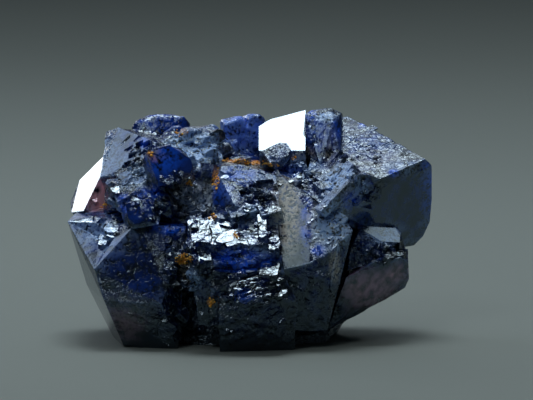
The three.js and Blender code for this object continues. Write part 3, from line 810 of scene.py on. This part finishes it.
# buff crust, partly painted fill light in shaded hollows
buff_and_fill = nodes.maths("MULTIPLY", nodes.attribute("buff_and_fill"), crust, clamp=True) * 0.8
body = buff_and_fill.mixed(body, (0.46, 0.44, 0.38, 1))
bare = 1 - glow * 0.8
# painted sheen and highlight: the pale film, partly dust and partly painted sheen, with a painted
# highlight along sharp edges
film_sheen_and_edges = pale_film_sheen + nodes.attribute("edge_highlight") * high * 0.4
film_sheen_and_edges = film_sheen_and_edges * (grain * 0.6 + mottle * 0.4).between(0.42, 0.53)
film_sheen_and_edges = nodes.maths("MULTIPLY", film_sheen_and_edges, bare, clamp=True)
body = film_sheen_and_edges.mixed(body, (0.28, 0.46, 0.8, 1))
# painted reflection: a pink-brown tint in place of the surroundings mirrored in these faces
painted_reflection = nodes.attribute("warm_reflection") * mottle.between(0.3, 0.6)
body = painted_reflection.mixed(body, (0.8, 0.45, 0.56, 1))
stain = ochre * grain.between(0.35, 0.55)
body = stain.mixed(body, (0.75, 0.33, 0.04, 1))
nodes.tree.links.new(body.socket, shader.inputs["Base Color"])
rough = dull * 0.05 + 0.05 + film_sheen_and_edges * 0.25 + buff_and_fill * 0.3 + stain * 0.3
nodes.tree.links.new(rough.socket, shader.inputs["Roughness"])
# facets a quarter and a tenth of a millimetre across, each tilted its own way
uneven = dull.between(0.6, 2)
wander = nodes.node("ShaderNodeTexNoise", None, {"Vector": place, "Scale": 2.5}, "Color")
bent = place.vector("ADD", wander.vector("SCALE", scale=0.35))
coarse = nodes.node("ShaderNodeTexVoronoi", None, {"Vector": bent, "Scale": 3.6}, "Color")
fine = nodes.node("ShaderNodeTexVoronoi", None, {"Vector": bent, "Scale": 10}, "Color")
coarse, fine = (v.vector("SUBTRACT", (0.5, 0.5, 0.5)) for v in (coarse, fine))
tilts = coarse.vector("SCALE", scale=uneven * 0.42)
tilts = tilts.vector("ADD", fine.vector("SCALE", scale=uneven * 0.38))
facing = nodes.node("ShaderNodeNewGeometry", output="Normal").vector("ADD", tilts)
height = (grain * 0.5 + mottle) * dull * 0.5
bump = nodes.node(
    "ShaderNodeBump",
    None,
    {"Height": height, "Distance": 0.08 * MM, "Normal": facing.vector("NORMALIZE")},
)
nodes.tree.links.new(bump.socket, shader.inputs["Normal"])
cluster.data.materials.clear()
cluster.data.materials.append(boleite)
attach(cluster, "root")
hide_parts("crystal_cluster")

# ---- The limonite
# Loose crusts of brown-orange grains, the rust-like mineral that fills the crevices between the
# crystals. Each crust is a heap of small rough grains stuck to the faces under it.
GRAINS, GRAIN_PATCH = 16, 0.03  # grains on a patch whose half sizes multiply to this
GRAINS_BEHIND = 14  # and in each place behind
GRAIN_SIZES, GRAIN_SQUASH = (0.02, 0.05), (0.7, 1.3)
spots = []
for x, z, half_wide, half_high, strength in OCHRE.values():
    for _ in range(int(GRAINS * strength * (half_wide * half_high / GRAIN_PATCH) ** 0.5)):
        angle, reach = rng.uniform(0, math.tau), rng.random() ** 0.7
        spots.append(
            front(x + half_wide * reach * math.cos(angle), z + half_high * reach * math.sin(angle))[:2]
        )
for place in STAINED:
    for _ in range(GRAINS_BEHIND):
        away = Vector([rng.gauss(0, STAIN_REACH * 0.5) for _ in range(3)])
        spots.append(surface.find_nearest(place + away)[:2])
grains = bmesh.new()
for spot, normal in spots:
    size = rng.uniform(*GRAIN_SIZES)
    turn = Matrix.Rotation(rng.uniform(0, math.tau), 4, Vector((rng.random(), rng.random(), 1)))
    squash = Matrix.Diagonal((rng.uniform(*GRAIN_SQUASH), rng.uniform(*GRAIN_SQUASH), 0.8, 1))
    bmesh.ops.create_icosphere(
        grains,
        subdivisions=1,
        radius=size,
        matrix=Matrix.Translation(spot + normal * size * 0.3) @ turn @ squash,
    )
limonite_grains = as_object("limonite_grains", grains, MM)
bpy.context.scene.collection.objects.link(limonite_grains)
limonite, shader, nodes = finish("limonite", 0.75)
where = nodes.node("ShaderNodeTexCoord", output="Object")
tint = nodes.noise(where, 9 / MM, 2).between(0.35, 0.65)
body = tint.mixed((0.75, 0.27, 0.025, 1), (1, 0.6, 0.1, 1))
nodes.tree.links.new(body.socket, shader.inputs["Base Color"])
limonite_grains.data.materials.append(limonite)
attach(limonite_grains, "root")

# ---- The floor
# A plain, pale, matt table top that the cluster rests on. It runs on to where it can't be told
# from the room behind it.
FLOOR_HALF = 0.6  # metres
bm = bmesh.new()
bmesh.ops.create_grid(bm, x_segments=1, y_segments=1, size=FLOOR_HALF)
floor = as_object("floor", bm)
bpy.context.scene.collection.objects.link(floor)
table_top, shader, nodes = finish("table_top", 1)
shader.inputs["Base Color"].default_value = (0.172, 0.21, 0.207, 1)
shader.inputs["Specular IOR Level"].default_value = 0.1
floor.data.materials.append(table_top)

# ---- Lights
# A small bright lamp over the cluster, softer ones round it and a dim room. The flat faces
# mirror them, so each lamp's place decides which faces are bright.
AIM_ACROSS, AIM_UP = 0.56, 5.17  # the place on the front that they are aimed at
MIDDLE = ACROSS * AIM_ACROSS * MM + RISE * (AIM_UP - FOOT) * MM
# direction across, deep and up, degrees wide, radiance, tint, and the spread of its beam
LAMPS = {
    "overhead": ((-0.02, 0.11, 0.99), 25, 12.5, (1, 1, 1), 180),
    "upper left": ((-0.6, 0.27, 0.75), 26, 1.5, (0.82, 0.86, 1), 180),
    "above and behind": ((0.14, 0.56, 0.81), 38, 1.1, (0.8, 0.9, 1), 70),
    "behind": ((-0.13, 0.83, 0.54), 24, 1.1, (0.85, 0.9, 1), 60),
    "behind left, high": ((-0.65, 0.57, 0.49), 13, 8.0, (1, 1, 1), 40),
    "behind left": ((-0.48, 0.8, 0.36), 13, 6.0, (1, 1, 1), 40),
    "behind left, low": ((-0.29, 0.91, 0.29), 13, 4.0, (1, 1, 1), 40),
    "front left": ((-0.32, -0.78, 0.54), 8, 16.0, (0.95, 0.98, 1), 180),
    "above the front": ((-0.1, -0.52, 0.85), 32, 1.25, (1, 1, 0.94), 180),
}
LAMP_DISTANCE = 0.16  # metres
for name, (way, width, radiance, tint, spread) in LAMPS.items():
    way = toward(*way)
    lamp = bpy.data.lights.new(name, "AREA")
    lamp.shape, lamp.size = "DISK", 2 * LAMP_DISTANCE * math.tan(math.radians(width) / 2)
    lamp.energy = radiance * math.pi * math.pi * (lamp.size / 2) ** 2
    # a narrower beam keeps the lamp's radiance
    if spread < 180:
        half = math.radians(spread) / 2
        lamp.spread = 2 * half
        lamp.energy *= 1 - half / math.tan(half)
    lamp.color = tint
    stand = bpy.data.objects.new(name, lamp)
    aim = (-way).to_track_quat("-Z", "Y").to_matrix().to_4x4()
    stand.matrix_world = Matrix.Translation(MIDDLE + way * LAMP_DISTANCE) @ aim
    bpy.context.scene.collection.objects.link(stand)
room = bpy.data.worlds.new("room")
room.use_nodes = True
room.node_tree.nodes["Background"].inputs["Color"].default_value = (0.02, 0.024, 0.028, 1)
bpy.context.scene.world = room
bpy.context.scene.view_settings.view_transform = "Standard"

# ---- The camera
# Square to the cluster's front, which leans back a little, so it looks down at the table. It
# stands far enough off to keep the crystals' true proportions.
SENSOR, DISTANCE, VIEW_WIDTH = 36, 0.2, 18.12 * MM
camera = bpy.data.objects.new("camera", bpy.data.cameras.new("camera"))
camera.data.sensor_width, camera.data.lens = SENSOR, SENSOR * DISTANCE / VIEW_WIDTH
camera.data.clip_start, camera.data.clip_end = 0.01, 10
aim = DEEP.to_track_quat("-Z", "Y").to_matrix().to_4x4()
camera.matrix_world = Matrix.Translation(MIDDLE - DEEP * DISTANCE) @ aim
bpy.context.scene.collection.objects.link(camera)
bpy.context.scene.camera = camera
